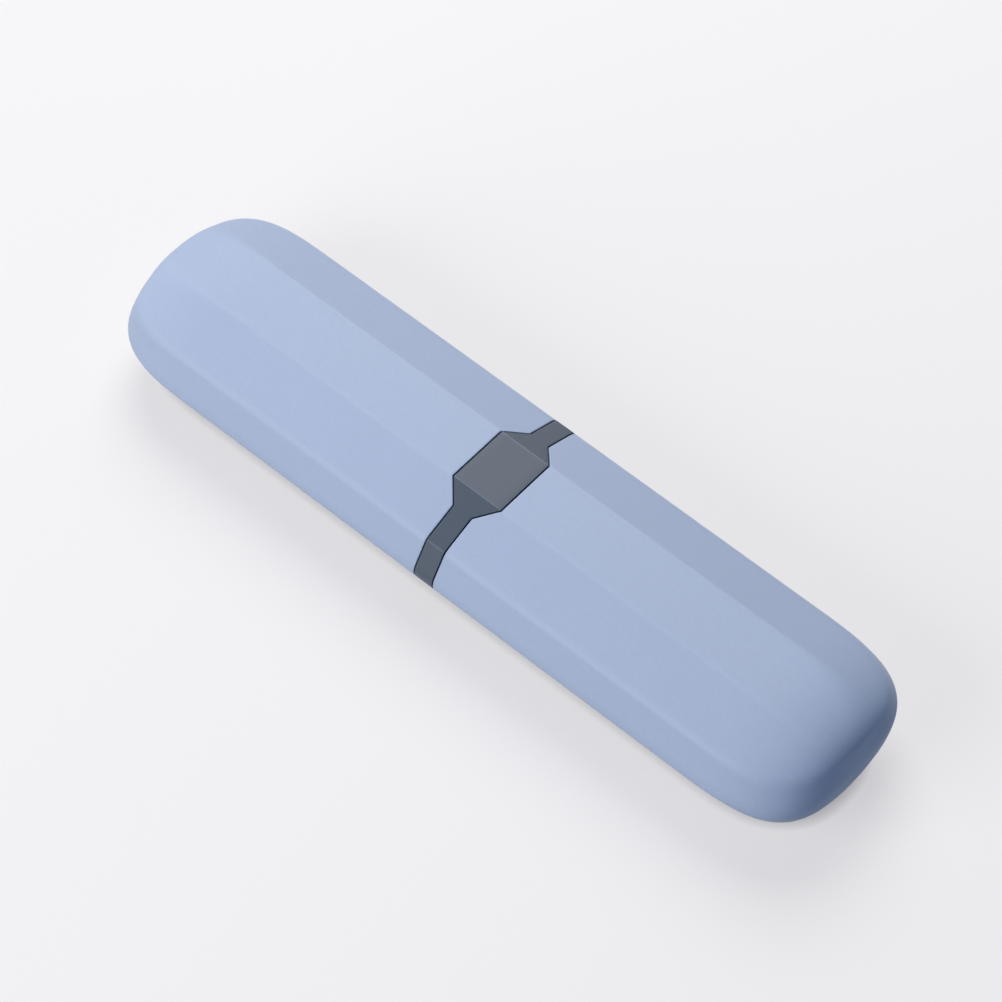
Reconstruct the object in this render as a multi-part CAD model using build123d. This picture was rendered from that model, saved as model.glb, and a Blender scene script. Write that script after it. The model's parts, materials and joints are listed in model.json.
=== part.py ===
from build123d import *
import math
import os

# Electric toothbrush travel case: a faceted capsule that pulls apart at its middle.
# Millimetres. X runs along the case, towards the base half. Z is up.
# The origin is on the surface that the case rests on, under its middle.

# ---- the case's own shape ----
case_length = 240.0          # tip to tip
case_height = 33.8           # bottom flat to top flat
top_flat_half = 9.6          # centre line to the crease beside the top flat
shoulder_half = 25.9         # centre line to the crease between shoulder and side
shoulder_rise = 10.1         # that crease above the mid-plane
side_half = 31.3             # centre line to the side crease, before it is rounded
side_crease_radius = 5.0     # rounding of the two side creases
shell_crease_radius = 4.5    # rounding of the other creases on the shells
trim_crease_radius = 1.0     # rounding of the same creases on the grey pieces
tip_rounding = 0.48          # share of a facet that the arc beside it takes up at a tip
least_radius = 0.5           # smallest crease radius inside the walls
end_length = 35.7            # length over which an end closes
end_run_power = 3.3          # how late the end starts to close
end_round_power = 3.5        # how blunt the end is
tip_share = 0.2              # size of the small flat at the tip, as a share of the section
end_steps = 9                # sections that an end is drawn through
wall = 1.8                   # wall of both shells

# ---- the grey middle ----
collar_centre = -0.9         # middle of the collar along the case
collar_width = 5.9           # collar along the case
seam_gap = 0.4               # shadow gap round the collar and the button
button_length = 16.2         # button along the case
button_half_span = 15.3      # centre line to the ends of the button's tapers
button_end_gap = 0.1         # hairline between the button's ends and the collar
button_travel = 0.8
button_rest_gap = 0.1        # left between the pressed button and the sleeve

# ---- sleeve that joins the halves ----
sleeve_wall = 1.3
slide_clearance = 0.2        # cap over sleeve, and glue line of base over sleeve
collar_seat_gap = 0.05       # collar over sleeve
sleeve_into_cap = 20.0       # sleeve beyond the collar, on the cap's side
sleeve_into_base = 21.0      # sleeve beyond the collar, on the base's side
sleeve_lead_in = 0.5         # chamfer round the sleeve's free edge
seal_width = 1.5
seal_depth = 0.6             # part of the seal that lies in the sleeve's groove
seal_fit = 0.05              # seal to its groove and to the cap
seal_from_edge = 3.5         # sleeve's free edge to the seal

# ---- latch ----
leaf_width = 7.0
leaf_thickness = 0.4
leaf_seat_gap = 0.02         # leaf under the sleeve's roof
tooth_from_collar = 10.0     # collar's edge to the tooth's far face
tooth_thickness = 1.0
tooth_bite = 0.65            # tooth above the cap's inner face
catch_clearance = 0.25       # tooth to the walls of the cap's catch pocket
leaf_tail = 19.0             # collar's edge to the leaf's fixed end
rivet_radius = 0.8
rivet_head_radius = 1.5
rivet_head_height = 0.5
rivet_pitch = 5.0
rivet_from_tail = 2.5        # leaf's fixed end to the nearer rivet
rivet_fit = 0.05
pusher_length = 5.0          # boss under the button, along the case
pusher_width = 6.0
touch_gap = 0.05             # parts that press on each other, at rest
window_clearance = 0.3       # sleeve's windows round what passes through them
leg_across = 7.0             # centre line to a snap leg's middle
leg_thickness = 1.2
leg_length = 4.6
barb_reach = 0.6             # barb beyond its leg
barb_height = 0.9

# ---- return spring under the button ----
spring_pocket_depth = 0.4
spring_strip = 0.25
spring_bar = 1.4             # width of the spring's four bars
spring_half_length = 6.4     # half the frame, along the case
spring_half_width = 5.6      # half the frame, across the case

# ---- what the case carries ----
handle_across = -5.5         # toothbrush handle's axis, across the case
handle_rise = -0.5           # handle's axis above the mid-plane
head_radius = 7.0            # spare brush head
head_from_side = 14.3        # side crease to the spare head's axis
head_rise = -2.0
cradle_gap = 0.1             # cradle and tray to the shell's inner face
cradle_floor = 1.0
saddle_floor = 0.65          # what is left of the floor under the handle's pads
rib_thickness = 3.0
rib_count = 3
rib_top = -1.5               # top of the ribs above the mid-plane
cradle_from_sleeve = 4.0     # sleeve's edge to the first rib
rib_pitch = 24.0
saddle_pad_thickness = 0.8
saddle_pad_gap = 0.05
peg_wall_from_tip = 20.0     # case's tip to the wall that holds a spare head's peg
peg_wall_thickness = 2.0
peg_radius = 2.1
peg_length = 14.0
peg_flange_radius = 4.0
peg_flange_thickness = 1.0
peg_fit = 0.05
end_pad_thickness = 4.5
end_pad_half_width = 15.0
end_pad_half_height = 8.0

# ---- what follows from those ----
mid_height = case_height / 2
half_length = case_length / 2
straight_half = half_length - end_length
collar_left = collar_centre - collar_width / 2
collar_right = collar_centre + collar_width / 2
sleeve_outer = wall + slide_clearance
sleeve_inner = sleeve_outer + sleeve_wall
sleeve_left = collar_left - sleeve_into_cap
sleeve_right = collar_right + sleeve_into_base
roof = case_height - sleeve_inner            # height of the sleeve's inner face at its top
leaf_top = roof - leaf_seat_gap
leaf_bottom = leaf_top - leaf_thickness
tooth_left = collar_left - tooth_from_collar
tooth_right = tooth_left + tooth_thickness
tooth_top = case_height - wall + tooth_bite
leaf_right = collar_right + leaf_tail
button_thickness = sleeve_outer - button_travel - button_rest_gap
button_underside = case_height - button_thickness
head_across = side_half - head_from_side
saddle_radius = mid_height + handle_rise - wall - cradle_gap - saddle_floor
pad_radius = saddle_radius - saddle_pad_gap
handle_radius = pad_radius - saddle_pad_thickness
far = case_length                            # larger than anything to be cut
overshoot = 1.0                              # how far a cut runs past what it cuts


def section_corners(inset):
    """Corners of the ten-sided section, each facet moved inward by inset."""
    upper = [(top_flat_half, mid_height), (shoulder_half, shoulder_rise), (side_half, 0)]
    lower = [(across, -up) for across, up in reversed(upper[:-1])]
    right = [Vector(across, up) for across, up in upper + lower]
    ring = right + [corner * -1 for corner in right]
    corners = []
    for index, corner in enumerate(ring):
        before = (corner - ring[index - 1]).normalized().rotate(Axis.Z, -90)
        after = (ring[(index + 1) % len(ring)] - corner).normalized().rotate(Axis.Z, -90)
        corners.append(corner + (before + after) * (inset / (1 + before.dot(after))))
    return corners


def section_radii(inset, crease_radius, fade):
    """Rounding of each crease of the section. fade 1 rounds it until hardly any facet is left."""
    corners = section_corners(0)
    radii = []
    for index, corner in enumerate(corners):
        before = corner - corners[index - 1]
        after = corners[(index + 1) % len(corners)] - corner
        half_turn = math.radians(before.get_angle(after) / 2)
        most = tip_rounding * min(before.length, after.length) / math.tan(half_turn)
        radius = side_crease_radius if abs(corner.Y) < least_radius else crease_radius
        radii.append(max(radius + fade * (most - radius) - inset, least_radius))
    return radii


def section(inset, at, scale=1.0, crease_radius=shell_crease_radius, fade=0.0):
    """The rounded section at a place along the case, as a face across it."""
    radii = [radius * scale for radius in section_radii(inset, crease_radius, fade)]
    outline = FilletPolyline(*[corner * scale for corner in section_corners(inset)], radius=radii, close=True)
    across = Plane(origin=(at, 0, mid_height), x_dir=(0, 1, 0), z_dir=(1, 0, 0))
    return across * make_face(outline)


def prism(inset, start, stop, crease_radius=shell_crease_radius):
    """A straight run of the section."""
    return extrude(section(inset, start, crease_radius=crease_radius), amount=stop - start)


def ring(outer_inset, inner_inset, start, stop, crease_radius=shell_crease_radius):
    """A straight run of wall between two insets."""
    outside = prism(outer_inset, start, stop, crease_radius)
    return outside - prism(inner_inset, start - overshoot, stop + overshoot, crease_radius)


def case_end(inset, side):
    """One closed end, where the section shrinks to the tip and its creases fade. side is -1 or 1."""
    run = end_length - inset
    faces = []
    for step in range(end_steps):
        share = math.sin(math.pi / 2 * step / end_steps)
        scale = (1 - share ** end_run_power) ** (1 / end_round_power)
        at = side * (straight_half + share * run)
        faces.append(section(inset, at, scale, fade=share ** 2))
    faces.append(section(inset, side * (straight_half + run), tip_share, fade=1.0))
    return loft(faces)


def half_case(inset, side, start):
    """The solid inside one half, from start to the tip. side is -1 or 1."""
    end = case_end(inset, side)
    low, high = sorted((start, side * straight_half))
    return prism(inset, low, high) + end


def slab(x_low, x_high, y_low, y_high, z_low, z_high):
    """A block between corner coordinates."""
    size = (x_high - x_low, y_high - y_low, z_high - z_low)
    middle = ((x_low + x_high) / 2, (y_low + y_high) / 2, (z_low + z_high) / 2)
    return Pos(*middle) * Box(*size)


def rod(radius, z_low, z_high, at_x, at_y):
    """An upright cylinder."""
    return Pos(at_x, at_y, (z_low + z_high) / 2) * Cylinder(radius, z_high - z_low)


def bar(radius, start, stop, across, up):
    """A cylinder along the case."""
    middle = Pos((start + stop) / 2, across, mid_height + up)
    return middle * Rot(0, 90, 0) * Cylinder(radius, stop - start)


def button_outline(margin):
    """The eight-sided plan of the button, grown by margin, as an upright prism above the mid-plane."""
    tip = button_length / 2
    waist = collar_width / 2
    right = [(waist, button_half_span), (tip, top_flat_half), (tip, -top_flat_half), (waist, -button_half_span)]
    left = [(-x, -y) for x, y in right]
    plan = make_face(Polyline(*right, *left, close=True))
    if margin > 0:
        plan = offset(plan, amount=margin, kind=Kind.INTERSECTION)
    return Pos(collar_centre, 0, mid_height) * extrude(plan, amount=case_height)


def make_shell(side, start):
    """One outer half with its notch for the button."""
    shell = half_case(0, side, start) - half_case(wall, side, start - side * overshoot)
    return shell - button_outline(seam_gap)


def make_base_shell():
    return make_shell(1, collar_right + seam_gap)


def make_cap_shell():
    """The cap has a blind pocket inside its roof that catches the latch's tooth."""
    pocket = slab(
        tooth_left - catch_clearance,
        tooth_right + catch_clearance,
        -leaf_width / 2 - catch_clearance,
        leaf_width / 2 + catch_clearance,
        case_height - wall - overshoot,
        tooth_top + catch_clearance,
    )
    return make_shell(-1, collar_left - seam_gap) - pocket


def make_collar_ring():
    """Grey band round the joint, open at the top where the button lies."""
    band = ring(0, sleeve_outer - collar_seat_gap, collar_left, collar_right, trim_crease_radius)
    opening = button_half_span + button_end_gap
    return band - slab(-far, far, -opening, opening, mid_height, 2 * case_height)


def leg_places():
    """Sides of the two snap legs, across the case."""
    return [-1, 1]


def sleeve_windows():
    """Everything that is cut through the sleeve's roof, as upright blocks."""
    roof_low = mid_height
    roof_high = case_height
    gap = window_clearance
    half = leaf_width / 2 + gap
    tooth = slab(tooth_left - gap, tooth_right + gap, -half, half, roof_low, roof_high)
    pusher_end = collar_centre + pusher_length / 2 + gap
    pusher_start = collar_centre - pusher_length / 2 - gap
    pusher_half = pusher_width / 2 + gap
    cuts = [tooth, slab(pusher_start, pusher_end, -pusher_half, pusher_half, roof_low, roof_high)]
    for side in leg_places():
        start = collar_centre - leg_length / 2 - gap
        inner = leg_across - leg_thickness / 2 - gap
        outer = leg_across + leg_thickness / 2 + gap
        low, high = sorted((side * inner, side * outer))
        cuts.append(slab(start, start + leg_length + 2 * gap, low, high, roof_low, roof_high))
    for place in rivet_places():
        cuts.append(rod(rivet_radius + rivet_fit, roof_low, roof_high, place, 0))
    return cuts


def rivet_places():
    """Where the rivets stand along the leaf."""
    last = leaf_right - rivet_from_tail
    return [last - rivet_pitch, last]


def seal_place():
    """Start of the seal along the sleeve."""
    return sleeve_left + seal_from_edge


def make_inner_sleeve():
    """Glued inside the base half; the cap slides over its free end."""
    sleeve = ring(sleeve_outer, sleeve_inner, sleeve_left, sleeve_right)
    free_face = sleeve.faces().sort_by(Axis.X)[0]
    sleeve = chamfer(free_face.outer_wire().edges(), sleeve_lead_in)
    groove_start = seal_place() - seal_fit
    groove_stop = seal_place() + seal_width + seal_fit
    groove = ring(0, sleeve_outer + seal_depth + seal_fit, groove_start, groove_stop)
    pocket_length = spring_half_length + window_clearance
    pocket_width = spring_half_width + window_clearance
    pocket = slab(
        collar_centre - pocket_length,
        collar_centre + pocket_length,
        -pocket_width,
        pocket_width,
        case_height - sleeve_outer - spring_pocket_depth,
        case_height,
    )
    sleeve = sleeve - groove - pocket
    for cut in sleeve_windows():
        sleeve = sleeve - cut
    return sleeve


def make_sleeve_seal():
    """Soft ring in the sleeve's groove."""
    start = seal_place()
    return ring(wall + seal_fit, sleeve_outer + seal_depth, start, start + seal_width)


def make_latch_leaf():
    """Sprung steel strip with an upturned tooth that holds the cap."""
    half = leaf_width / 2
    strip = slab(tooth_left, leaf_right, -half, half, leaf_bottom, leaf_top)
    tooth = slab(tooth_left, tooth_right, -half, half, leaf_bottom, tooth_top)
    leaf = strip + tooth
    for place in rivet_places():
        leaf = leaf - rod(rivet_radius + rivet_fit, 0, case_height, place, 0)
    return leaf


def make_leaf_rivets():
    """Two rivets that hold the leaf under the sleeve's roof."""
    rivets = []
    for place in rivet_places():
        head = rod(rivet_head_radius, leaf_bottom - rivet_head_height, leaf_bottom, place, 0)
        shank = rod(rivet_radius, leaf_bottom, case_height - sleeve_outer, place, 0)
        rivets.append(head + shank)
    return Compound(children=rivets)


def make_return_spring():
    """Flat spring frame whose two cross bars bow up against the button."""
    seat = case_height - sleeve_outer - spring_pocket_depth
    crest = button_underside - touch_gap
    half = spring_half_width
    foot = half - spring_bar
    underside = ThreePointArc((-foot, seat), (0, crest - spring_strip), (foot, seat))
    topside = ThreePointArc((foot, seat + spring_strip), (0, crest), (-foot, seat + spring_strip))
    bow = make_face([underside, Line(underside @ 1, topside @ 0), topside, Line(topside @ 1, underside @ 0)])
    spring_start = collar_centre - spring_half_length
    spring_stop = collar_centre + spring_half_length
    pieces = []
    for start in (spring_start, spring_stop - spring_bar):
        across = Plane(origin=(start, 0, 0), x_dir=(0, 1, 0), z_dir=(1, 0, 0))
        pieces.append(extrude(across * bow, amount=spring_bar))
    for low, high in ((-half, -foot), (foot, half)):
        pieces.append(slab(spring_start, spring_stop, low, high, seat, seat + spring_strip))
    return pieces[0] + pieces[1:]


def make_release_button():
    """Folded plate with a pusher that bends the leaf and two snap legs that hold it in."""
    tip = button_length / 2
    start = collar_centre - tip - overshoot
    stop = collar_centre + tip + overshoot
    plate = ring(0, button_thickness, start, stop, trim_crease_radius) & button_outline(0)
    half = pusher_length / 2
    pusher = slab(
        collar_centre - half,
        collar_centre + half,
        -pusher_width / 2,
        pusher_width / 2,
        leaf_top + touch_gap,
        button_underside,
    )
    button = plate + pusher
    barb_top = roof - touch_gap
    for side in leg_places():
        inner = side * (leg_across - leg_thickness / 2)
        outer = side * (leg_across + leg_thickness / 2)
        tip_edge = outer + side * barb_reach
        low, high = sorted((inner, outer))
        x_low = collar_centre - leg_length / 2
        x_high = collar_centre + leg_length / 2
        button = button + slab(x_low, x_high, low, high, barb_top - barb_height, button_underside)
        low, high = sorted((outer, tip_edge))
        button = button + slab(x_low, x_high, low, high, barb_top - barb_height, barb_top)
    return button


def rib_places(side):
    """Start of each rib along the case. side is -1 in the cap and 1 in the base."""
    edge = sleeve_right if side > 0 else sleeve_left
    first = edge + side * cradle_from_sleeve
    starts = [first + side * rib_pitch * index for index in range(rib_count)]
    return [start if side > 0 else start - rib_thickness for start in starts]


def peg_wall(side):
    """Both faces of the wall that holds a spare head's peg, along the case."""
    outer = side * (half_length - peg_wall_from_tip)
    return tuple(sorted((outer, outer - side * peg_wall_thickness)))


def make_holder(side):
    """Moulded rest inside a half: floor, saddle ribs for the handle and spare head, peg wall."""
    starts = rib_places(side)
    first = starts[0] if side > 0 else starts[0] + rib_thickness
    wall_low, wall_high = peg_wall(side)
    low, high = sorted((first, wall_high if side > 0 else wall_low))
    space = half_case(wall + cradle_gap, side, first)
    floor_top = wall + cradle_gap + cradle_floor
    plan = slab(low, high, -far, far, 0, floor_top)
    for start in starts:
        plan = plan + slab(start, start + rib_thickness, -far, far, 0, mid_height + rib_top)
    plan = plan + slab(wall_low, wall_high, -far, far, 0, mid_height + head_rise + peg_flange_radius)
    holder = space & plan
    holder = holder - bar(saddle_radius, low - overshoot, high + overshoot, handle_across, handle_rise)
    lane_stop = wall_low if side > 0 else wall_high
    lane = sorted((first - side * overshoot, lane_stop))
    holder = holder - bar(head_radius, lane[0], lane[1], head_across, head_rise)
    return holder - bar(peg_radius + peg_fit, low - overshoot, high + overshoot, head_across, head_rise)


def make_saddle_pad(start):
    """Soft strip that lines a saddle where the handle lies."""
    stop = start + rib_thickness
    outer = bar(pad_radius, start, stop, handle_across, handle_rise)
    inner = bar(handle_radius, start - overshoot, stop + overshoot, handle_across, handle_rise)
    return (outer - inner) & slab(-far, far, -far, far, 0, mid_height + rib_top)


def make_head_peg(side):
    """Peg that a spare brush head pushes onto, with a flange against its wall."""
    wall_low, wall_high = peg_wall(side)
    inner_face = wall_low if side > 0 else wall_high
    outer_face = wall_high if side > 0 else wall_low
    tip = inner_face - side * peg_length
    flange_edge = inner_face - side * peg_flange_thickness
    low, high = sorted((tip, outer_face))
    shaft = bar(peg_radius, low, high, head_across, head_rise)
    low, high = sorted((flange_edge, inner_face))
    return shaft + bar(peg_flange_radius, low, high, head_across, head_rise)


def make_end_pad(side):
    """Soft buffer inside a tip."""
    space = half_case(wall + cradle_gap, side, side * straight_half / 2)
    low, high = sorted((side * (half_length - wall - end_pad_thickness), side * half_length))
    height = (mid_height - end_pad_half_height, mid_height + end_pad_half_height)
    return space & slab(low, high, -end_pad_half_width, end_pad_half_width, *height)


def write(name, shape):
    shape.label = name
    export_step(shape, f"parts/{name}.step")
    solids = shape.solids()
    print(name, len(solids), "solid(s)", round(sum(solid.volume for solid in solids), 1), "mm3")


os.makedirs("parts", exist_ok=True)
write("base_shell", make_base_shell())
write("collar_ring", make_collar_ring())
write("inner_sleeve", make_inner_sleeve())
write("sleeve_seal", make_sleeve_seal())
write("latch_leaf", make_latch_leaf())
write("leaf_rivets", make_leaf_rivets())
write("return_spring", make_return_spring())
write("release_button", make_release_button())
write("handle_cradle", make_holder(1))
write("base_head_peg", make_head_peg(1))
write("base_end_pad", make_end_pad(1))
write("cap_shell", make_cap_shell())
write("cap_tray", make_holder(-1))
write("cap_head_peg", make_head_peg(-1))
write("cap_end_pad", make_end_pad(-1))
for number, place in enumerate(rib_places(1), start=1):
    write(f"cradle_pad_{number}", make_saddle_pad(place))
for number, place in enumerate(rib_places(-1), start=1):
    write(f"tray_pad_{number}", make_saddle_pad(place))
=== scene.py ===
# %% [markdown]
# # A travel case for an electric toothbrush
#
# The case is a flattened, faceted capsule in pale blue plastic. It pulls apart at a slate grey collar,
# and a folded grey button on top lets go of the cap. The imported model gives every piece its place. This
# lesson dresses those pieces, one cell at a time.

import json
import math

import bmesh
import bpy
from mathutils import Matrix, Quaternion, Vector


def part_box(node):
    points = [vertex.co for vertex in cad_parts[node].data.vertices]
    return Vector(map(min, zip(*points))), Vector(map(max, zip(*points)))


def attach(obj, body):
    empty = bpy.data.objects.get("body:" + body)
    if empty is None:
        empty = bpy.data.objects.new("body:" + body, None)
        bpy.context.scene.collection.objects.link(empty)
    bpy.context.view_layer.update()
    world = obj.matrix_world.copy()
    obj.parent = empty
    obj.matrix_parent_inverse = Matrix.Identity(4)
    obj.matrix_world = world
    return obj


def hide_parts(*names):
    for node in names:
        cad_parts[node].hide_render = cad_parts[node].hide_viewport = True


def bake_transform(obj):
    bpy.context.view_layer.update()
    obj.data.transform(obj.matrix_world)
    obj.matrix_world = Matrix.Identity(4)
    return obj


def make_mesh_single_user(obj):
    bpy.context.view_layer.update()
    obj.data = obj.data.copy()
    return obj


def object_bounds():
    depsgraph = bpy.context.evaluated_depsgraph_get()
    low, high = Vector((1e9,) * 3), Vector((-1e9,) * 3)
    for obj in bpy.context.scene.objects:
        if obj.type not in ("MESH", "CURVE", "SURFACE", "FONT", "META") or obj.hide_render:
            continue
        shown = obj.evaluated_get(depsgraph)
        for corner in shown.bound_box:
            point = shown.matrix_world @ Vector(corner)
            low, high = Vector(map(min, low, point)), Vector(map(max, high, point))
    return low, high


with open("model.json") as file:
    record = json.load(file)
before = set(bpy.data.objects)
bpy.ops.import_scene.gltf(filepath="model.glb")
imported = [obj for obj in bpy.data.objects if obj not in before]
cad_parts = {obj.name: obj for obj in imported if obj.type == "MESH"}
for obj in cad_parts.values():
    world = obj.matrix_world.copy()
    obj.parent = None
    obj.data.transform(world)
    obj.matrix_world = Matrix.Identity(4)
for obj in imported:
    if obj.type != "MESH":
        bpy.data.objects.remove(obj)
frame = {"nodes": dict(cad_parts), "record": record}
cad_low, cad_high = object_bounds()
scene = bpy.context.scene
print("nodes", len(frame["nodes"]), "box", [round(v, 4) for v in (*cad_low, *cad_high)])

# %% [markdown]
# Everything here is in metres, so sizes are written in millimetres and multiplied by `MM`. The places
# along the case could be typed in again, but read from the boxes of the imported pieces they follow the
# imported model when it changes. A box can't tell the shape of the section, so its corners are repeated:
# the top facet ends at `TOP_FLAT` from the middle, the shoulder crease lies at `SHOULDER`, up by
# `SHOULDER_RISE` from mid height, and the side crease lies at `SIDE`.

# %% Sizes
MM = 0.001
collar_low, collar_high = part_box("collar_ring")
button_low, button_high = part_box("release_button")
collar_centre = (collar_low.x + collar_high.x) / 2
collar_half = (collar_high.x - collar_low.x) / 2
button_half = (button_high.x - button_low.x) / 2
button_span = button_high.y
case_half = cad_high.x
mid_height = cad_high.z / 2

TOP_FLAT = 9.6 * MM
SHOULDER = 25.9 * MM
SHOULDER_RISE = 10.1 * MM
SIDE = 31.3 * MM
print("collar", round(collar_half * 2 / MM, 2), "mm wide")
print("button", round(button_half * 2 / MM, 2), "mm long")

# %% [markdown]
# The case was moulded with a ten-sided section. The corners could be listed one by one, but the section's
# halves mirror each other, so three corners give all ten. Towards the tips the creases fade, because
# their arcs grow until they nearly meet on the facets between them. `TIP_ROUNDING` is the share of a
# facet that one arc may then take up.

# %% The section
TIP_ROUNDING = 0.48


def section_corners():
    """The ten corners in order, from the right of the top facet, as (across, up)."""
    upper = [(TOP_FLAT, mid_height), (SHOULDER, SHOULDER_RISE), (SIDE, 0.0)]
    right = upper + [(across, -up) for across, up in reversed(upper[:-1])]
    return [Vector(corner) for corner in right + [(-across, -up) for across, up in right]]


def facet_normal(start, stop):
    """The direction out of the facet between two corners."""
    run = (stop - start).normalized()
    return Vector((-run.y, run.x)) if run.cross(start) > 0 else Vector((run.y, -run.x))


def most_rounding(at):
    """The radius at which a corner's arc takes up its full share of the shorter facet beside it."""
    before = CORNERS[at] - CORNERS[at - 1]
    after = CORNERS[(at + 1) % COUNT] - CORNERS[at]
    return TIP_ROUNDING * min(before.length, after.length) / math.tan(before.angle(after) / 2)


CORNERS = section_corners()
COUNT = len(CORNERS)
NORMALS = [facet_normal(corner, CORNERS[(at + 1) % COUNT]) for at, corner in enumerate(CORNERS)]
MOST = [most_rounding(at) for at in range(COUNT)]
print("section with", COUNT, "corners")

# %% [markdown]
# Each crease is an arc and each facet is a straight run. A bevelled curve could draw that outline, but
# here every place on it needs a number that can be found again on a smaller or softer outline, which is
# how the ends close without twisting. The numbers go from 0 to 20: even whole numbers start an arc, odd
# ones start a facet, and the fraction says how far along it is.

# %% The outline
SHELL_RADIUS = 4.5 * MM
SIDE_RADIUS = 5.0 * MM
LEAST_RADIUS = 0.5 * MM


def crease_point(at, share, inset, radius, fade):
    """A point of the rounded crease at a corner; share goes from 0 to 1 along its arc."""
    before, after = NORMALS[at - 1], NORMALS[at]
    own = SIDE_RADIUS if CORNERS[at].y == 0.0 else radius
    rounding = max(own + fade * (MOST[at] - own) - inset, LEAST_RADIUS)
    centre = CORNERS[at] - (before + after) * ((inset + rounding) / (1 + before.dot(after)))
    angle = math.atan2(before.y, before.x) - before.angle_signed(after) * share
    return centre + Vector((math.cos(angle), math.sin(angle))) * rounding


def outline_point(place, inset, radius, fade=0.0):
    """Across and up at a place on the outline, moved inward by inset."""
    corner = (int(place) // 2) % COUNT
    fraction = place - int(place)
    if int(place) % 2 == 0:
        return crease_point(corner, fraction, inset, radius, fade)
    start = crease_point(corner, 1.0, inset, radius, fade)
    stop = crease_point((corner + 1) % COUNT, 0.0, inset, radius, fade)
    return start.lerp(stop, fraction)


top_facet = outline_point(19.0, 0.0, SHELL_RADIUS) - outline_point(20.0, 0.0, SHELL_RADIUS)
print("top facet", round(top_facet.length / MM, 2), "mm between its creases")

# %% [markdown]
# The button and the notches for it end at chosen distances across the case. The place that goes with such
# a distance has no tidy formula, because of the arcs, so it is found by halving an interval again and
# again.

# %% Places on the outline
TOP_MIDDLE = 19.5
HALVINGS = 40
ARC_PARTS = 10
FACET_PARTS = 10


def place_on_top(across):
    """The place on the upper half of the outline whose point lies that far across."""
    near, far = TOP_MIDDLE, TOP_MIDDLE + COUNT / 2
    for _ in range(HALVINGS):
        middle = (near + far) / 2
        if outline_point(middle, 0.0, SHELL_RADIUS).x < abs(across):
            near = middle
        else:
            far = middle
    return near if across > 0 else 2 * TOP_MIDDLE - near


def places_between(start, stop, extra=()):
    """All places from start to stop that a mesh gets a column at."""
    marks = {start, stop, *extra}
    for element in range(int(start), int(stop) + 1):
        parts = ARC_PARTS if element % 2 == 0 else FACET_PARTS
        marks.update(element + part / parts for part in range(parts))
    return sorted(mark for mark in marks if start <= mark <= stop)


print("columns round the case", len(places_between(0.0, 2.0 * COUNT)) - 1)

# %% [markdown]
# A value named `edge` is kept at every point of the new meshes: 1 out on a rounded edge, less on a
# crease, 0 on an open facet and -1 on the wall of a seam. A shader could search for edges by itself, but
# a stored value is exact, and it can tell a seam from an open edge. The finishes turn it into a lighter
# tone on edges and creases, which is partly the polish that edges get in a wash bag and partly a painted
# highlight, and into painted shade on the walls of seams.

# %% Edge values
# Edge value on the walls of seams, which the plastic paints dark: painted shade in the seam.
SEAM_WALL = -1.0


def crease_edge(place):
    """How far a place is out on a crease, from 0 at its foot to 1 at its middle."""
    return 0.0 if int(place) % 2 else math.sin(math.pi * (place - int(place)))


def rounded_edge(radius, parts):
    """Points on a quarter-round edge, as (back from its wall, down from its top, edge value)."""
    points = []
    for part in range(parts + 1):
        turn = math.pi / 2 * part / parts
        points.append((radius * (1 - math.cos(turn)), radius * (1 - math.sin(turn)), math.sin(2 * turn)))
    return points


print("edge value at the middle of a crease", crease_edge(0.5))

# %% [markdown]
# A mesh is built as rows that run round the case. Neighbouring rows are joined by four-sided faces, so
# the highlights flow along the creases. A coarse cage under a Subdivision modifier would be quicker to
# build, but it would round the creases away and shrink the case. Faces are shaded as one smooth surface,
# except where they meet at a corner sharper than `SHARP`. Each finished mesh then takes the place of a
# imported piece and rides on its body.

# %% Mesh helpers
SHARP = math.radians(40)


def join_rows(row_count, width, closed_round):
    """Faces between rows of points; closed_round also joins each row's last point to its first."""
    faces = []
    for row in range(row_count - 1):
        for column in range(width if closed_round else width - 1):
            beside = (column + 1) % width
            start = row * width
            faces.append((start + column, start + beside, start + width + beside, start + width + column))
    return faces


def make_piece(name, points, faces, edge_values):
    """A smooth mesh object with its edge values, its faces turned outward and its corners kept sharp."""
    mesh = bpy.data.meshes.new(name)
    mesh.from_pydata(points, [], faces)
    mesh.attributes.new("edge", "FLOAT", "POINT").data.foreach_set("value", edge_values)
    work = bmesh.new()
    work.from_mesh(mesh)
    bmesh.ops.recalc_face_normals(work, faces=work.faces)
    work.to_mesh(mesh)
    work.free()
    mesh.polygons.foreach_set("use_smooth", [True] * len(mesh.polygons))
    mesh.set_sharp_from_angle(angle=SHARP)
    mesh.update()
    piece = bpy.data.objects.new(name, mesh)
    scene.collection.objects.link(piece)
    return piece


def stand_for(piece, node, body):
    """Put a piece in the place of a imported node."""
    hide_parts(node)
    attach(piece, body)
    print(piece.name, len(piece.data.polygons), "faces")
    return piece


print("faces meet smoothly up to", round(math.degrees(SHARP)), "degrees")

# %% [markdown]
# The rim of each half runs straight round the case and steps back round the button. A Boolean modifier
# could cut that notch, but it leaves slivers that spoil the highlights. Here every row near the rim
# follows the notch instead. The notch is the button's own plan grown by the seam, so its corners lie a
# little further out than the button's.

# %% The rim of a half
SEAM_GAP = 0.4 * MM
taper_run = Vector((button_half - collar_half, button_span - TOP_FLAT))
taper_lean = taper_run.y / taper_run.length
NOTCH_SHIFT = SEAM_GAP * (1 - taper_lean) / (taper_run.x / taper_run.length)


def taper_reach(across, shift, gap):
    """How far the button's edge, moved out by a gap, lies from the collar's middle."""
    share = (abs(across) - TOP_FLAT - shift) / (button_span - TOP_FLAT)
    return gap + button_half + (collar_half - button_half) * min(max(share, 0.0), 1.0)


def rim_reach(across, up):
    """How far a half's rim lies from the collar's middle."""
    return taper_reach(across, NOTCH_SHIFT, SEAM_GAP) if up > 0 else collar_half + SEAM_GAP


print("notch corner lies", round(NOTCH_SHIFT / MM, 3), "mm further out than the button's")

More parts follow.
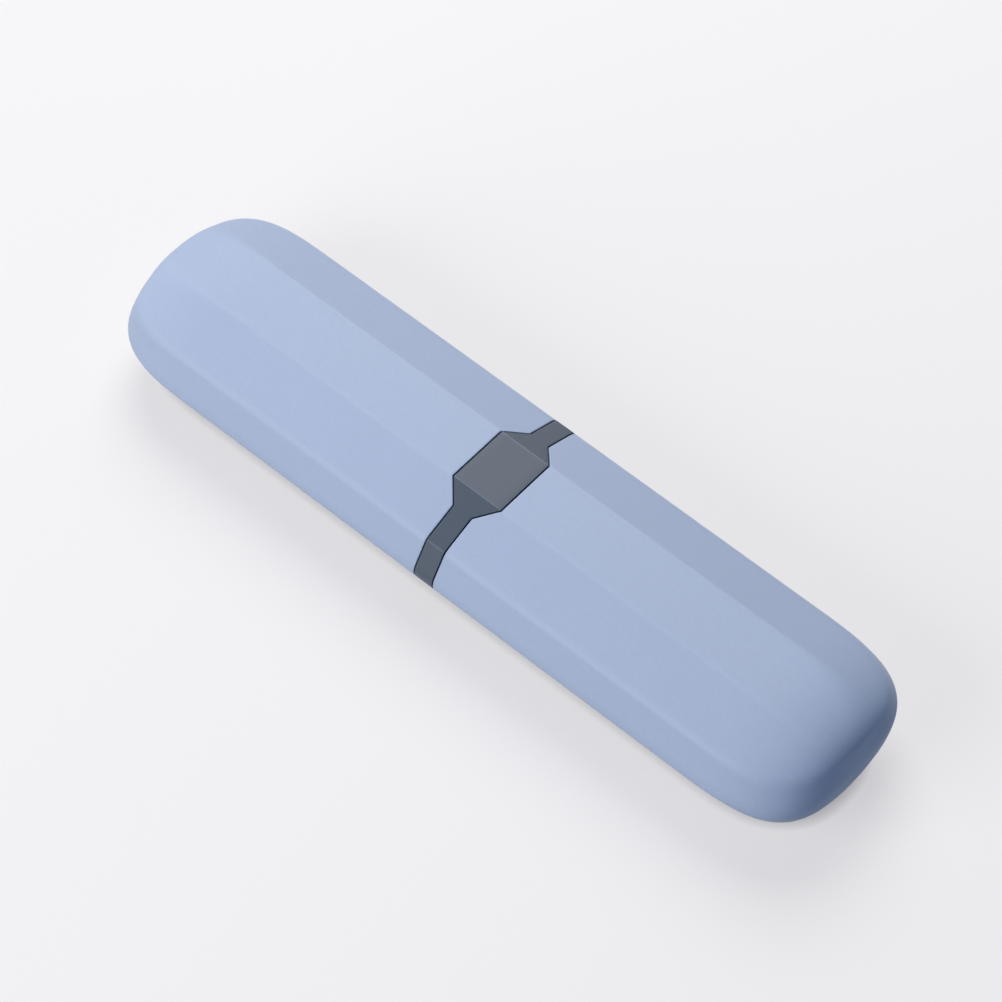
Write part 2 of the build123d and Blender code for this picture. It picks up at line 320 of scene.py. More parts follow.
# %% [markdown]
# Towards the tip the section shrinks along a blunt superellipse, which keeps the facets long and still
# gives a soft end. Such an end could be sculpted, but a formula makes both ends alike. Left alone, it
# would be round in side view too. On the real case the upper side facet runs on round the tip as a band,
# so below the crease's height the end is pulled in to a nearly upright band. At the end's corners the
# ridge above the band stands out a little.

# %% The closing ends
END_LENGTH = 35.7 * MM
END_RUN_POWER = 3.3
END_ROUND_POWER = 3.5
BAND_LEAN = 0.048
BAND_ROUNDING = 1.5 * MM
RIDGE_SOFTNESS = 0.005
CORNER_FILL = 0.009
FILL_HEIGHT = 3.5 * MM


def band_pull(up):
    """How far the upper side's band pulls the tip in at a height, as a share of the end's length."""
    round_reach = (1 - min(abs(up) / mid_height, 1.0) ** END_ROUND_POWER) ** (1 / END_RUN_POWER)
    rise = math.hypot(up, BAND_ROUNDING) - BAND_ROUNDING
    band_reach = 1 - BAND_LEAN * rise / SHOULDER_RISE
    return RIDGE_SOFTNESS * math.log(1 + math.exp((round_reach - band_reach) / RIDGE_SOFTNESS))


def plan_factor(up, share):
    """How the end's plan differs from a plain superellipse, as a factor, at a point above mid height."""
    off_ridge = (up - SHOULDER_RISE) / FILL_HEIGHT
    fill = CORNER_FILL * math.sin(math.pi * share * share) * math.exp(-off_ridge * off_ridge / 2)
    fade = min(up / BAND_ROUNDING, 1.0)
    return 1 + fill * fade * fade * (3 - 2 * fade) - share * (band_pull(up) - band_pull(0.0))


def end_row(side, places, turn, inset):
    """A row of the closing end; turn goes from 0 at its start to a quarter turn at the tip."""
    share = math.sin(turn) ** (2 / END_RUN_POWER)
    scale = math.cos(turn) ** (2 / END_ROUND_POWER)
    row = []
    for place in places:
        across, up = outline_point(place, inset, SHELL_RADIUS, share * share) * scale
        plan = plan_factor(up, share) if up > 0 and inset == 0 else 1.0
        along = case_half - END_LENGTH + share * (END_LENGTH - inset) * plan
        row.append((side * along, across * plan, mid_height + up))
    return row


ridge_pull = (band_pull(SHOULDER_RISE) - band_pull(0.0)) * END_LENGTH
print("at the crease's height the band pulls the tip in by", round(ridge_pull / MM, 2), "mm")

# %% [markdown]
# The lip of a half is slightly rounded, inside and out, and follows the notch. The cap also has a blind
# pocket in its roof, where the latch's tooth catches. There the inner rows step outward, within a run so
# short (`STEP`) that it reads as a wall.

# %% Lip and catch pocket
WALL = 1.8 * MM
LIP = 0.26 * MM
LIP_PARTS = 5
STEP = 0.01 * MM
CATCH_GAP = 0.25 * MM
TOOTH_THICKNESS = 1.0 * MM
leaf_low, leaf_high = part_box("latch_leaf")
POCKET_WIDTH = leaf_high.y + CATCH_GAP
POCKET_ENDS = (leaf_low.x - CATCH_GAP, leaf_low.x + TOOTH_THICKNESS + CATCH_GAP)
POCKET_INSET = cad_high.z - leaf_high.z - CATCH_GAP


def lip_profile():
    """Steps from the inner face over the rim to the outer face: (back from the rim, inset, edge value)."""
    corner = rounded_edge(LIP, LIP_PARTS)
    return [(back, WALL - drop, value) for back, drop, value in reversed(corner)] + corner


def lip_rows(side, places):
    """Rows of points round the lip."""
    rims = []
    for place in places:
        rims.append(collar_centre + side * rim_reach(*outline_point(place, 0.0, SHELL_RADIUS)))
    rows = []
    for back, inset, _ in lip_profile():
        row = []
        for place, rim in zip(places, rims):
            across, up = outline_point(place, inset, SHELL_RADIUS)
            row.append((rim + side * back, across, mid_height + up))
        rows.append(row)
    return rows


def pocket_rows(places):
    """Rows on the cap's inner face where the catch pocket starts and stops."""
    marks = []
    for end, sign in zip(POCKET_ENDS, (1, -1)):
        marks += [(end, False), (end + sign * STEP, True)]
    rows = []
    for along, deep in sorted(marks):
        row = []
        for place in places:
            across, up = outline_point(place, WALL, SHELL_RADIUS)
            if deep and up > 0 and abs(across) < POCKET_WIDTH - STEP / 2:
                across, up = outline_point(place, POCKET_INSET, SHELL_RADIUS)
            row.append((along, across, mid_height + up))
        rows.append(row)
    return rows


print("catch pocket leaves", round(POCKET_INSET / MM, 2), "mm of the roof over it")

# %% [markdown]
# Each half is one moulded shell. A Solidify modifier could give an outer skin its wall, but the inside
# has a shape of its own at the lip and the pocket, so both sides are built: rows up the inside from the
# tip, over the lip and back along the outside. The outer rows lie closer together near the lip, where the
# notch bends them. Creases get a weaker edge value, which the finish turns into a painted highlight along
# them, and it fades out towards the tip.

# %% The two shells
STRAIGHT_ROWS = 26
STRAIGHT_GATHER = 1.5
END_ROWS = 44
INNER_END_ROWS = 16
# How much lighter the creases are painted, as a highlight, compared with a rounded edge.
CREASE_HIGHLIGHT = 0.45


def shell_places():
    """The columns of a half, with one at each corner of the notch and of the pocket."""
    corners = (TOP_FLAT + NOTCH_SHIFT, button_span + NOTCH_SHIFT, POCKET_WIDTH, POCKET_WIDTH - STEP)
    marks = [place_on_top(sign * across) % (2 * COUNT) for sign in (-1, 1) for across in corners]
    return places_between(0.0, 2.0 * COUNT, marks)[:-1]


def inside_rows(side, places):
    """Rows on the inner face, from the tip to the lip."""
    turns = [math.pi / 2 * (1 - step / INNER_END_ROWS) for step in range(1, INNER_END_ROWS + 1)]
    rows = [end_row(side, places, turn, WALL) for turn in turns]
    return rows + pocket_rows(places) if side < 0 else rows


def straight_rows(side, rim_row):
    """Rows on the straight run of the outer face, which start at the rim and end where the tip begins."""
    straight = side * (case_half - END_LENGTH)
    rows = []
    for step in range(1, STRAIGHT_ROWS + 1):
        share = (step / STRAIGHT_ROWS) ** STRAIGHT_GATHER
        rows.append([(x + (straight - x) * share, y, z) for x, y, z in rim_row])
    return rows


def shell_edge_values(places, inside_count, turns):
    """The edge value at every point of a half, with its two tips last."""
    # Creases get edge values that paint a highlight along them; towards the tip it fades.
    crease = [crease_edge(place) * CREASE_HIGHLIGHT for place in places]
    values = [0.0] * (inside_count * len(places))
    values += [value for _, _, value in lip_profile() for _ in places]
    values += crease * STRAIGHT_ROWS
    for turn in turns:
        values += [value * math.cos(turn) for value in crease]
    return values + [0.0, 0.0]


def shell_faces(row_count, width):
    """Faces between the rows, and a fan of three-sided faces that closes each tip."""
    faces = join_rows(row_count, width, True)
    last_row = (row_count - 1) * width
    inner_tip = row_count * width
    outer_tip = inner_tip + 1
    for column in range(width):
        beside = (column + 1) % width
        faces.append((inner_tip, beside, column))
        faces.append((outer_tip, last_row + column, last_row + beside))
    return faces


def make_shell(name, side):
    """One half of the case, inside, lip and outside, as one closed mesh."""
    places = shell_places()
    inside = inside_rows(side, places)
    lip = lip_rows(side, places)
    turns = [math.pi / 2 * step / END_ROWS for step in range(1, END_ROWS)]
    outside = straight_rows(side, lip[-1]) + [end_row(side, places, turn, 0.0) for turn in turns]
    rows = inside + lip + outside
    points = [point for row in rows for point in row]
    points += [(side * (case_half - WALL), 0.0, mid_height), (side * case_half, 0.0, mid_height)]
    faces = shell_faces(len(rows), len(places))
    return make_piece(name, points, faces, shell_edge_values(places, len(inside), turns))


cap_skin = stand_for(make_shell("cap_shell_skin", -1), "cap_shell", "cap")
base_skin = stand_for(make_shell("base_shell_skin", 1), "base_shell", "base")

# %% [markdown]
# The grey collar and the button are plates on the same section, with crisper folds. One ring could be
# split in two, but as plates of their own they keep their edges, and the button can move. Both get a fine
# rounded edge where they meet the shells, because a moulded edge is never quite sharp, and its thin line
# of light is what parts the grey from the dark seam. The finish paints that line and the folds lighter
# still, as a painted highlight. A plate's end walls stand upright, so that the button can go straight down
# past the collar.

# %% Plates on the section
TRIM_RADIUS = 1.0 * MM
TRIM_EDGE = 0.18 * MM
TRIM_EDGE_PARTS = 4
PLATE_PARTS = 8
# How strongly the plates' folds are painted lighter, as a highlight: beside the top facet, and on the
# sides.
TOP_FOLD_HIGHLIGHT = 1.0
SIDE_FOLD_HIGHLIGHT = 0.35


def plate_profile(thickness):
    """Steps over a plate, from underside to underside: (side, back from the edge, inset, edge value)."""
    # The upright walls carry the seam value, which the finish paints dark as shade in the seam.
    wall = [(0.0, thickness, SEAM_WALL), (0.0, TRIM_EDGE, SEAM_WALL)]
    rise = wall + rounded_edge(TRIM_EDGE, TRIM_EDGE_PARTS)[1:]
    flat = [(-1 + 2 * part / PLATE_PARTS, TRIM_EDGE, 0.0, 0.0) for part in range(1, PLATE_PARTS)]
    return [(-1.0, *step) for step in rise] + flat + [(1.0, *step) for step in reversed(rise)]


def plumb_point(place, inset):
    """The point straight below a place on an upper facet, on the outline moved inward by inset."""
    rise = NORMALS[(int(place) // 2) % COUNT].y
    return outline_point(place, 0.0, TRIM_RADIUS) - Vector((0.0, inset / rise))


def fold_highlight(place):
    """The edge value on a plate's fold, a painted highlight: strong beside the top facet, weak elsewhere.
    """
    beside_top = CORNERS[(int(place) // 2) % COUNT].y == mid_height
    return crease_edge(place) * (TOP_FOLD_HIGHLIGHT if beside_top else SIDE_FOLD_HIGHLIGHT)


def plate_faces(row_count, width):
    """Faces between a plate's rows, over its underside and on its two end walls."""
    faces = join_rows(row_count, width, False)
    last_row = (row_count - 1) * width
    for column in range(width - 1):
        faces.append((last_row + column, last_row + column + 1, column + 1, column))
    first_column = [row * width for row in range(row_count)]
    faces.append(tuple(first_column))
    faces.append(tuple(at + width - 1 for at in reversed(first_column)))
    return faces


def make_plate(name, start, stop, reach, thickness):
    """A plate on the section between two places; reach gives half its length at a distance across."""
    places = places_between(start, stop, [place_on_top(sign * TOP_FLAT) for sign in (-1, 1)])
    profile = plate_profile(thickness)
    points = []
    values = []
    for side, back, inset, value in profile:
        for place in places:
            half = reach(outline_point(place, 0.0, TRIM_RADIUS).x)
            at_end = place in (start, stop)
            across, up = plumb_point(place, inset) if at_end else outline_point(place, inset, TRIM_RADIUS)
            points.append((collar_centre + side * (half - back), across, mid_height + up))
            values.append(value if value < 0 else max(value, fold_highlight(place)))
    return make_piece(name, points, plate_faces(len(profile), len(places)), values)


print("a plate has", len(plate_profile(WALL)), "rows of points")

# %% [markdown]
# The button is a plate over the top, from the end of one taper to the end of the other, and the collar is
# a plate round the rest of the section. Where the two meet, their ends lie a hair's breadth apart, so
# that they read as one grey band.

# %% The collar and the button
BUTTON_THICKNESS = 1.1 * MM
COLLAR_THICKNESS = 1.95 * MM
END_HAIRLINE = 0.015 * MM

button_place = place_on_top(button_span)
button_plate = make_plate(
    "release_button_plate",
    2 * TOP_MIDDLE - button_place,
    button_place,
    lambda across: taper_reach(across, 0.0, 0.0),
    BUTTON_THICKNESS,
)
collar_place = place_on_top(button_span + END_HAIRLINE)
collar_band = make_plate(
    "collar_band",
    collar_place,
    2 * (TOP_MIDDLE + COUNT) - collar_place,
    lambda across: collar_half,
    COLLAR_THICKNESS,
)
stand_for(collar_band, "collar_ring", "base")

# %% [markdown]
# Under the button's plate a boss pushes the latch, and two snap legs with barbs hold the button in. They
# are only seen with the case open, but they are part of the same moulding, so they are added to the same
# mesh, with small rounded edges. Each block sinks a little into its neighbour, so that no gap shows
# between them.

# %% Boss and snap legs
BLOCK_ROUNDING = 0.12 * MM
BLOCK_SEGMENTS = 2
ROUND_PROFILE = 0.5
SINK = 0.1 * MM
LEAF_THICKNESS = 0.4 * MM
TOUCH_GAP = 0.05 * MM
BOSS_LENGTH = 5.0 * MM
BOSS_WIDTH = 6.0 * MM
LEG_ACROSS = 7.0 * MM
LEG_THICKNESS = 1.2 * MM
LEG_LENGTH = 4.6 * MM
BARB_REACH = 0.6 * MM
BARB_HEIGHT = 0.9 * MM
boss_low = leaf_low.z + LEAF_THICKNESS + TOUCH_GAP
plate_under = cad_high.z - BUTTON_THICKNESS + SINK


def add_block(piece, low, high):
    """Add a block with rounded edges to a piece's mesh."""
    work = bmesh.new()
    work.from_mesh(piece.data)
    made = bmesh.ops.create_cube(work, size=1.0)["verts"]
    size = Vector(high) - Vector(low)
    bmesh.ops.scale(work, vec=size, verts=made)
    bmesh.ops.translate(work, vec=(Vector(low) + Vector(high)) / 2, verts=made)
    bmesh.ops.bevel(
        work,
        geom=list({edge for vert in made for edge in vert.link_edges}),
        offset=BLOCK_ROUNDING,
        segments=BLOCK_SEGMENTS,
        profile=ROUND_PROFILE,
        affect="EDGES",
    )
    work.to_mesh(piece.data)
    work.free()


def add_leg(piece, side):
    """Add a snap leg on one side of the boss: its stem, and the barb at its foot."""
    inner = side * (LEG_ACROSS - LEG_THICKNESS / 2)
    outer = side * (LEG_ACROSS + LEG_THICKNESS / 2)
    stem = (inner, outer, plate_under)
    barb = (outer - side * SINK, outer + side * BARB_REACH, button_low.z + BARB_HEIGHT)
    for near, far, top in (stem, barb):
        add_block(
            piece,
            (collar_centre - LEG_LENGTH / 2, min(near, far), button_low.z),
            (collar_centre + LEG_LENGTH / 2, max(near, far), top),
        )


add_block(
    button_plate,
    (collar_centre - BOSS_LENGTH / 2, -BOSS_WIDTH / 2, boss_low),
    (collar_centre + BOSS_LENGTH / 2, BOSS_WIDTH / 2, plate_under),
)
for side in (-1, 1):
    add_leg(button_plate, side)
stand_for(button_plate, "release_button", "button")

# %% [markdown]
# When the button goes down, its boss bends the latch leaf and its plate flattens the return spring. Both
# are made again from the imported pieces, as meshes of their own. The leaf is cut across into short
# lengths where it bends, between the rivets, which hold it to the sleeve, and the boss, which pushes it.
# The spring only sinks towards its seat, so it is copied without cuts.

# %% Springs that give
LEAF_ROOT = 11.5 * MM
LEAF_CUT = 0.5 * MM


def spring_copy(name, node):
    """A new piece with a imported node's shape."""
    piece = bpy.data.objects.new(name, frame["nodes"][node].data.copy())
    scene.collection.objects.link(piece)
    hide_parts(node)
    return piece


def cut_across(piece, start, stop):
    """Cut a piece across the case in short steps between two places along it."""
    work = bmesh.new()
    work.from_mesh(piece.data)
    for step in range(int((stop - start) / LEAF_CUT) + 1):
        everything = work.verts[:] + work.edges[:] + work.faces[:]
        place = Vector((start + step * LEAF_CUT, 0.0, 0.0))
        bmesh.ops.bisect_plane(work, geom=everything, plane_co=place, plane_no=(1.0, 0.0, 0.0))
    work.to_mesh(piece.data)
    work.free()


boss_edge = collar_centre + BOSS_LENGTH / 2
bent_leaf = spring_copy("bending_leaf", "latch_leaf")
cut_across(bent_leaf, boss_edge, LEAF_ROOT)
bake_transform(bent_leaf)
sunk_spring = spring_copy("sinking_spring", "return_spring")
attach(sunk_spring, "base")
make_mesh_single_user(sunk_spring)

# %% [markdown]
# Every finish below is a small network of nodes. They could be wired one by one, but sums of node outputs
# read best as sums, so one class wraps an output and turns `+`, `-` and `*` into Math nodes. It works for
# single values, such as masks and roughness.

# %% Wires


class Wire:
    """A node's output that can be used in sums, such as 1 - mask * 0.5."""

    def __init__(self, socket):
        self.socket = socket

    def math(self, operation, first, second):
        """One Math node on two values."""
        node = self.socket.id_data.nodes.new("ShaderNodeMath")
        node.operation = operation
        feed(node.inputs[0], first)
        feed(node.inputs[1], second)
        return Wire(node.outputs[0])

    def __add__(self, other):
        return self.math("ADD", self, other)

    def __sub__(self, other):
        return self.math("SUBTRACT", self, other)

    def __rsub__(self, other):
        return self.math("SUBTRACT", other, self)

    def __mul__(self, other):
        return self.math("MULTIPLY", self, other)

    __radd__ = __add__
    __rmul__ = __mul__


def feed(socket, value):
    """Give a socket a wire or a plain value."""
    if isinstance(value, Wire):
        socket.id_data.links.new(value.socket, socket)
    else:
        socket.default_value = value


print("wires ready")

# %% [markdown]
# A second class holds the nodes of one material, or of the world. It adds any node from its type, its
# settings and the values or wires of its sockets. Colours can't go through Math nodes, so they are
# blended by a Mix node. That node has sockets for each kind of value, and `COLOUR_INPUTS` and
# `COLOUR_RESULT` number those for colours.

# %% Finishes
COLOUR_INPUTS = (0, 6, 7)
COLOUR_RESULT = 2


class Finish:
    """The nodes of one material, or of the world."""

    def __init__(self, owner, shader, **sockets):
        self.owner = owner
        self.owner.use_nodes = True
        self.shader = owner.node_tree.nodes[shader]
        for socket, value in sockets.items():
            self.set(socket.replace("_", " "), value)

    def set(self, socket, value):
        """Give one of the shader's sockets a wire or a plain value."""
        feed(self.shader.inputs[socket], value)

    def add(self, kind, settings, sockets, output=0):
        """Add a node: its type, its settings, then its sockets. Gives one of its outputs."""
        node = self.owner.node_tree.nodes.new(kind)
        for setting, value in settings.items():
            setattr(node, setting, value)
        for socket, value in sockets.items():
            feed(node.inputs[socket], value)
        return Wire(node.outputs[output])

    def blend(self, share, first, second):
        """A colour between two colours."""
        sockets = dict(zip(COLOUR_INPUTS, (share, first, second)))
        return self.add("ShaderNodeMix", {"data_type": "RGBA"}, sockets, COLOUR_RESULT)

    def spread(self, value, low, high):
        """Stretch the part of a value from low to high over 0 to 1, with soft ends."""
        sockets = {"Value": value, "From Min": low, "From Max": high}
        return self.add("ShaderNodeMapRange", {"interpolation_type": "SMOOTHSTEP"}, sockets)


def new_finish(name, **sockets):
    """A new material's nodes, with plain values for some of its sockets."""
    return Finish(bpy.data.materials.new(name), "Principled BSDF", **sockets)


print("finishes ready")

# %% [markdown]
# Painted images could give the surfaces their detail, but they would need every piece unwrapped. `grain`
# is noise of a given size in object space, which needs nothing and stays on the piece when it moves, and
# `drawn_out` is such noise stretched along the case. `edge_mask` finds outer edges: the new meshes carry
# their own values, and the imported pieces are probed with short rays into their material, which soon meet
# the next face where an outer edge is near. `relief` is bump, for what is too fine to model.

# %% Shared traits
PROBE = 0.35 * MM
PROBE_SAMPLES = 6
PROBE_RANGE = (0.35, 0.8)


def place_on(finish):
    """Object coordinates, in metres."""
    return finish.add("ShaderNodeTexCoord", {}, {}, "Object")


def grain(finish, size, detail=3.0, roughness=0.5):
    """Noise from 0 to 1 whose lumps are about that size."""
    sockets = {"Vector": place_on(finish), "Scale": 1 / size, "Detail": detail, "Roughness": roughness}
    return finish.add("ShaderNodeTexNoise", {}, sockets)


def drawn_out(finish, length, width, detail):
    """Noise from 0 to 1 whose lumps are long and thin, and lie along the case."""
    scale = (1 / length, 1 / width, 1 / width)
    stretched = finish.add("ShaderNodeMapping", {}, {"Vector": place_on(finish), "Scale": scale})
    return finish.add("ShaderNodeTexNoise", {}, {"Vector": stretched, "Scale": 1.0, "Detail": detail})


def edge_mask(finish, own_mesh):
    """1 on outer edges and 0 on open faces; the new meshes also have -1 on the walls of seams."""
    if own_mesh:
        return finish.add("ShaderNodeAttribute", {"attribute_name": "edge"}, {}, "Fac")
    settings = {"inside": True, "samples": PROBE_SAMPLES}
    probed = finish.add("ShaderNodeAmbientOcclusion", settings, {"Distance": PROBE}, "AO")
    return finish.spread(1.0 - probed, *PROBE_RANGE)


def relief(finish, height, depth):
    """A bump of that depth from a height between 0 and 1, fed to the shader's normal."""
    sockets = {"Strength": 1.0, "Distance": depth, "Height": height}
    finish.set("Normal", finish.add("ShaderNodeBump", {}, sockets))


def shade(colour, factor=1.0):
    """A colour made lighter or darker, for a shader's colour socket."""
    return (*(channel * factor for channel in colour), 1.0)


print("shared traits ready")

# %% [markdown]
# All the plastics follow one recipe. The pigment is a little cloudy, and the spark-eroded mould leaves a
# fine texture with darker specks. Years in bags leave hairline scuffs along the case, in loose groups.
# Edges are rubbed glossier, and lighter, which is partly wear and partly a painted highlight, and the
# walls of seams are painted dark, as shade. A `_SHARE` says how much of a trait shows in the colour, a
# `_SHADE` how much lighter or darker it is, and a `_ROUGHNESS` what it adds or takes.

# %% Moulded plastic
CLOUD_SIZE = 26 * MM
CLOUD_DARK = 0.965
CLOUD_LIGHT = 1.035
CLOUD_ROUGHNESS = 0.06
SPECK_GRAINS = 3
SPECK_RANGE = (0.3, 0.7)
SPECK_SHARE = 0.5
SPECK_SHADE = 0.94
SCUFF_LENGTH = 22 * MM
SCUFF_WIDTH = 0.35 * MM
SCUFF_RANGE = (0.62, 0.74)
SCUFF_GROUP = 30 * MM
SCUFF_GROUP_RANGE = (0.48, 0.66)
SCUFF_SHARE = 0.25
SCUFF_SHADE = 1.12
SCUFF_ROUGHNESS = 0.07
SCUFF_DEPTH = 0.5
# How much of the lighter edge tone shows: partly wear, partly a painted highlight.
EDGE_WEAR_AND_HIGHLIGHT_SHARE = 0.8
EDGE_ROUGHNESS = 0.07
# How much of the painted shade in the seams shows, and how dark it is.
PAINTED_SEAM_SHARE = 0.9
PAINTED_SEAM_SHADE = 0.25
SWELL_SIZE = 7 * MM
SWELL_HEIGHT = 2.0


def scuff_mask(finish):
    """Hairlines along the case from 0 to 1, in loose groups."""
    lines = drawn_out(finish, SCUFF_LENGTH, SCUFF_WIDTH, detail=2.0)
    groups = finish.spread(grain(finish, SCUFF_GROUP, detail=1.0), *SCUFF_GROUP_RANGE)
    return finish.spread(lines, *SCUFF_RANGE) * groups


def moulded_plastic(name, colour, roughness, grain_size, grain_depth, edge_wear_and_highlight_shade, own_mesh=True):
    """Pigmented moulded plastic: cloudy colour, fine spark texture, glossier edges painted lighter (partly
    wear, partly a painted highlight), painted shade on seam walls and hairline scuffs.
    """
    finish = new_finish(name, IOR=1.4)
    cloud = grain(finish, CLOUD_SIZE, detail=2.0)
    specks = grain(finish, grain_size * SPECK_GRAINS, detail=2.0)
    found = edge_mask(finish, own_mesh)
    edge = finish.spread(found, 0.0, 1.0)
    # Seam walls, with negative edge values, are painted dark: painted shade in the seams.
    painted_seam_shade = finish.spread(0.0 - found, 0.0, 1.0)
    scuffs = scuff_mask(finish)
    base = finish.blend(cloud, shade(colour, CLOUD_DARK), shade(colour, CLOUD_LIGHT))
    speck_share = finish.spread(specks, *SPECK_RANGE) * SPECK_SHARE
    base = finish.blend(speck_share, base, shade(colour, SPECK_SHADE))
    base = finish.blend(scuffs * SCUFF_SHARE, base, shade(colour, SCUFF_SHADE))
    # Edges painted lighter: partly wear, partly a painted highlight.
    base = finish.blend(edge * EDGE_WEAR_AND_HIGHLIGHT_SHARE, base, shade(colour, edge_wear_and_highlight_shade))
    base = finish.blend(painted_seam_shade * PAINTED_SEAM_SHARE, base, shade(colour, PAINTED_SEAM_SHADE))
    finish.set("Base Color", base)
    worn = roughness + (cloud - 0.5) * CLOUD_ROUGHNESS + scuffs * SCUFF_ROUGHNESS - edge * EDGE_ROUGHNESS
    finish.set("Roughness", worn)
    pits = grain(finish, grain_size, roughness=0.6)
    swell = grain(finish, SWELL_SIZE, detail=1.0)
    relief(finish, pits + swell * SWELL_HEIGHT - scuffs * SCUFF_DEPTH, grain_depth)
    return finish.owner


print("plastic recipe ready")

# %% [markdown]
# The halves are a satin pale blue, with creases and lips painted a little lighter as a highlight. The
# collar and the button are the same kind of plastic in slate, but with a slightly glossier, coarser
# texture, and with folds and edges that are rubbed glossier and painted much lighter, as a highlight. The
# sleeve lies under the collar, and it is a darker slate, which paints shade into the seams over it, in a
# plainer polish, because its outside has to slide.

# %% Blue shells and slate trim
BLUE = (0.410, 0.487, 0.658)
SLATE = (0.067, 0.087, 0.121)
# Darker than the trim, so that the seams over the sleeve look dark: painted shade.
SLEEVE_SLATE = (0.050, 0.066, 0.092)
blue_shell = moulded_plastic(
    "satin_blue_shell",
    BLUE,
    roughness=0.55,
    grain_size=0.3 * MM,
    grain_depth=0.006 * MM,
    # creases and lips painted lighter: a painted highlight
    edge_wear_and_highlight_shade=1.07,
)
slate_trim = moulded_plastic(
    "matt_slate_trim",
    SLATE,
    roughness=0.5,
    grain_size=0.36 * MM,
    grain_depth=0.008 * MM,
    # folds and edges painted much lighter: a painted highlight
    edge_wear_and_highlight_shade=2.1,
)
slate_sleeve = moulded_plastic(
    "smooth_slate_sleeve",
    SLEEVE_SLATE,
    roughness=0.34,
    grain_size=0.5 * MM,
    grain_depth=0.003 * MM,
    edge_wear_and_highlight_shade=1.3,
    own_mesh=False,
)
print("plastics", len(blue_shell.node_tree.nodes), "nodes in the shell's finish")

# %% [markdown]
# The cradle and the tray are plain pale mouldings, made to be seen only when the case is open. Their
# texture is finer than that of the outside. The two pegs are a glossy white plastic that a brush head
# slips over.

# %% Inner mouldings and pegs
PALE = (0.60, 0.65, 0.72)
WHITE = (0.80, 0.81, 0.82)
pale_moulding = moulded_plastic(
    "pale_inner_moulding",
    PALE,
    roughness=0.48,
    grain_size=0.25 * MM,
    grain_depth=0.004 * MM,
    edge_wear_and_highlight_shade=1.06,
    own_mesh=False,
)
white_peg = moulded_plastic(
    "glossy_white_peg",
    WHITE,
    roughness=0.22,
    grain_size=0.6 * MM,
    grain_depth=0.0015 * MM,
    edge_wear_and_highlight_shade=1.04,
    own_mesh=False,
)
print("inner plastics ready")

# %% [markdown]
# The pads, the buffers and the seal are a soft dark elastomer. It has no gloss to speak of. What gives it
# away is a dusty bloom on its edges and a fine, slightly pebbled skin, made here from a cell pattern.

# %% Soft rubber
RUBBER = (0.075, 0.092, 0.115)
BLOOM = (0.20, 0.215, 0.235)
DUST_SIZE = 6 * MM
DUST_RANGE = (0.45, 0.7)
DUST_SHARE = 0.35
DUST_SHADE = 0.8
DUST_ROUGHNESS = 0.12
BLOOM_SHARE = 0.5
RUBBER_ROUGHNESS = 0.74
PEBBLE_SIZE = 0.45 * MM
PEBBLE_HEIGHT = 0.7
FINE_SIZE = 0.2 * MM
FINE_HEIGHT = 0.3
RUBBER_DEPTH = 0.012 * MM


def make_rubber():
    """Matt elastomer with a pebbled skin and a dusty bloom."""
    finish = new_finish("soft_dark_rubber", IOR=1.5, Sheen_Weight=0.15, Sheen_Roughness=0.5)
    pebbles = finish.add("ShaderNodeTexVoronoi", {}, {"Vector": place_on(finish), "Scale": 1 / PEBBLE_SIZE})
    dust = finish.spread(grain(finish, DUST_SIZE, detail=4.0), *DUST_RANGE)
    edge = edge_mask(finish, False)
    base = finish.blend(dust * DUST_SHARE, shade(RUBBER), shade(BLOOM, DUST_SHADE))
    base = finish.blend(edge * BLOOM_SHARE, base, shade(BLOOM))
    finish.set("Base Color", base)
    finish.set("Roughness", RUBBER_ROUGHNESS + dust * DUST_ROUGHNESS)
    relief(finish, pebbles * PEBBLE_HEIGHT + grain(finish, FINE_SIZE) * FINE_HEIGHT, RUBBER_DEPTH)
    return finish.owner


soft_rubber = make_rubber()
print("rubber", len(soft_rubber.node_tree.nodes), "nodes")

# %% [markdown]
# The latch leaf and the return spring are stamped from rolled spring steel. Rolling leaves fine lines
# along the strip, and stamping leaves a brighter edge. An anisotropic shader could only stretch the
# highlight, while lines in the colour, the roughness and the bump also show from close by. The rivets get
# the same recipe with lines so short that they turn into spots, as where a tool formed their heads.

# %% Steel
STEEL = (0.56, 0.57, 0.59)
RIVET = (0.50, 0.50, 0.51)
HEAT_STAIN = (0.42, 0.37, 0.30)
LINE_WIDTH = 0.09 * MM
LINE_DARK = 0.86
LINE_LIGHT = 1.1
LINE_ROUGHNESS = 0.14
LINE_DEPTH = 0.004 * MM
STAIN_SIZE = 4 * MM
STAIN_RANGE = (0.5, 0.75)
STAIN_SHARE = 0.4
STAIN_ROUGHNESS = 0.1
CUT_SHARE = 0.6
CUT_SHADE = 1.35
CUT_ROUGHNESS = 0.08


def make_steel(name, colour, line_length, roughness):
    """Rolled or formed steel with fine lines, faint heat stains and bright edges."""
    finish = new_finish(name, Metallic=1.0)
    lines = drawn_out(finish, line_length, LINE_WIDTH, detail=4.0)
    stain = finish.spread(grain(finish, STAIN_SIZE), *STAIN_RANGE)
    edge = edge_mask(finish, False)
    base = finish.blend(lines, shade(colour, LINE_DARK), shade(colour, LINE_LIGHT))
    base = finish.blend(stain * STAIN_SHARE, base, shade(HEAT_STAIN))
    base = finish.blend(edge * CUT_SHARE, base, shade(colour, CUT_SHADE))
    finish.set("Base Color", base)
    worn = roughness + lines * LINE_ROUGHNESS + stain * STAIN_ROUGHNESS - edge * CUT_ROUGHNESS
    finish.set("Roughness", worn)
    relief(finish, lines, LINE_DEPTH)
    return finish.owner


